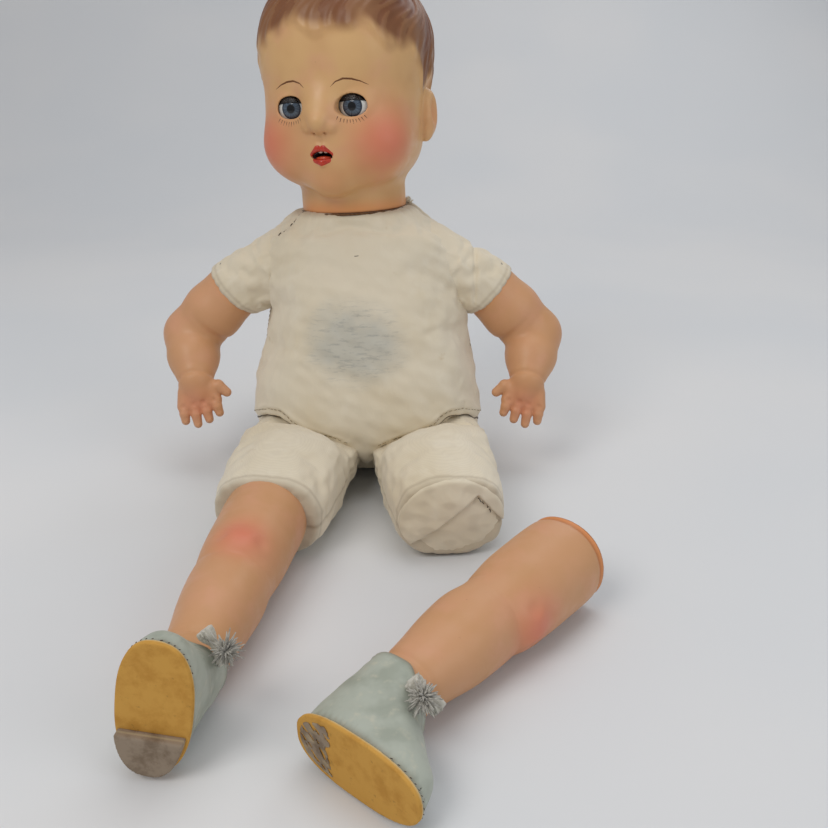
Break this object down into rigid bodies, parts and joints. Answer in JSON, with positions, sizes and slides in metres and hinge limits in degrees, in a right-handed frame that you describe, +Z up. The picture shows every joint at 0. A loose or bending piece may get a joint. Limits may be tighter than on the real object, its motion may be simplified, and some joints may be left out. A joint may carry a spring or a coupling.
{
  "type": "composition baby doll",
  "caption": "Seated baby doll with composition head and limbs, sleep eyes, stuffed cloth body and oilcloth shoes, one lower leg detached and lying beside it.",
  "frame": {"origin": "middle of the flat seat that the doll sits on", "axes": "+Z up, the doll faces -Y, its right side is -X"},
  "size_m": [0.284, 0.448, 0.3353],
  "materials": {
    "muslin": "unbleached cotton muslin, aged",
    "cotton_stuffing": "packed cotton",
    "composition_head": "painted and varnished sawdust composition, semi-gloss",
    "composition_limb": "painted sawdust composition, satin",
    "oilcloth": "pale grey-green oilcloth",
    "sole_card": "mustard card",
    "heel_lift": "taupe pressed board",
    "cardboard": "plain card",
    "ribbon": "thin gathered ribbon",
    "pompom_yarn": "teased yarn",
    "eye_enamel": "glossy enamelled metal ball with a painted iris and lid",
    "plaster": "raw plaster",
    "lead": "dull cast weight",
    "binding_wire": "soft iron wire",
    "cord": "cotton string",
    "mouth_felt": "red felt",
    "tooth_white": "white celluloid"
  },
  "bodies": {
    "torso": {"torso_front_panel": "muslin", "torso_back_panel": "muslin", "torso_stuffing": "cotton_stuffing", "neck_drawstring": "cord", "crier_can": "cardboard", "crier_lid": "cardboard", "crier_reed": "binding_wire"},
    "crier_weight": {"crier_weight": "lead"},
    "head": {"head_front_shell": "composition_head", "head_rear_shell": "composition_head", "eye_setting_right": "plaster", "eye_setting_left": "plaster", "mouth_liner": "mouth_felt", "upper_teeth": "tooth_white", "tongue": "mouth_felt"},
    "eyes": {"eyeball_right": "eye_enamel", "eyeball_left": "eye_enamel", "eye_bridge": "binding_wire", "eye_weight": "lead"},
    "sleeve_right": {"sleeve_right_cover": "muslin", "sleeve_right_stuffing": "cotton_stuffing", "sleeve_right_binding": "binding_wire"},
    "sleeve_left": {"sleeve_left_cover": "muslin", "sleeve_left_stuffing": "cotton_stuffing", "sleeve_left_binding": "binding_wire"},
    "arm_right": {"arm_right_shell": "composition_limb", "arm_right_plug": "cardboard"},
    "arm_left": {"arm_left_shell": "composition_limb", "arm_left_plug": "cardboard"},
    "thigh_right": {"thigh_right_cover": "muslin", "thigh_right_stuffing": "cotton_stuffing", "thigh_right_binding": "binding_wire"},
    "thigh_left": {"thigh_left_cover": "muslin", "thigh_left_stuffing": "cotton_stuffing", "thigh_left_end_disc": "muslin"},
    "leg_right": {"leg_right_shell": "composition_limb", "shoe_right_upper": "oilcloth", "shoe_right_insole": "cardboard", "shoe_right_sole": "sole_card", "shoe_right_heel": "heel_lift", "shoe_right_tie": "ribbon", "shoe_right_pompom": "pompom_yarn"},
    "leg_left": {"leg_left_shell": "composition_limb", "shoe_left_upper": "oilcloth", "shoe_left_insole": "cardboard", "shoe_left_sole": "sole_card", "shoe_left_tie": "ribbon", "shoe_left_pompom": "pompom_yarn"}
  },
  "joints": [
    {"name": "head_turn", "type": "hinge", "parent": "torso", "child": "head", "pos_m": [-0.008, 0.002, 0.184], "axis": [-0.047, 0.052, 0.9975], "range_deg": [-60, 80]},
    {"name": "eyes_sleep", "type": "hinge", "parent": "head", "child": "eyes", "pos_m": [-0.02122, -0.03318, 0.25268], "axis": [0.9667, -0.2492, 0.059], "range_deg": [0, 50]},
    {"name": "right_shoulder_swing", "type": "hinge", "parent": "torso", "child": "sleeve_right", "pos_m": [-0.072, -0.004, 0.148], "axis": [1, 0, 0], "range_deg": [-60, 60]},
    {"name": "left_shoulder_swing", "type": "hinge", "parent": "torso", "child": "sleeve_left", "pos_m": [0.064, -0.004, 0.148], "axis": [1, 0, 0], "range_deg": [-60, 60]},
    {"name": "right_arm_turn", "type": "hinge", "parent": "sleeve_right", "child": "arm_right", "pos_m": [-0.072, -0.004, 0.148], "axis": [-0.7427, 0.05, -0.6677], "range_deg": [-15, 40]},
    {"name": "left_arm_turn", "type": "hinge", "parent": "sleeve_left", "child": "arm_left", "pos_m": [0.064, -0.004, 0.148], "axis": [0.7427, 0.05, -0.6677], "range_deg": [-40, 15]},
    {"name": "right_hip_fold", "type": "hinge", "parent": "torso", "child": "thigh_right", "pos_m": [-0.04, -0.04, 0.032], "axis": [-1, 0, 0], "range_deg": [-75, 10]},
    {"name": "left_hip_fold", "type": "hinge", "parent": "torso", "child": "thigh_left", "pos_m": [0.04, -0.04, 0.032], "axis": [-1, 0, 0], "range_deg": [-75, 10]},
    {"name": "right_leg_turn", "type": "hinge", "parent": "thigh_right", "child": "leg_right", "pos_m": [-0.0546, -0.15, 0.028], "axis": [-0.125, -0.9913, -0.042], "range_deg": [-35, 35]},
    {"name": "loose_leg_lift", "type": "slide", "parent": "torso", "child": "leg_left", "axis": [0, 0, 1], "range_m": [0, 0.12]},
    {"name": "crier_weight_slide", "type": "slide", "parent": "torso", "child": "crier_weight", "axis": [0, -0.9781, 0.208], "range_m": [0, 0.012]}
  ]
}
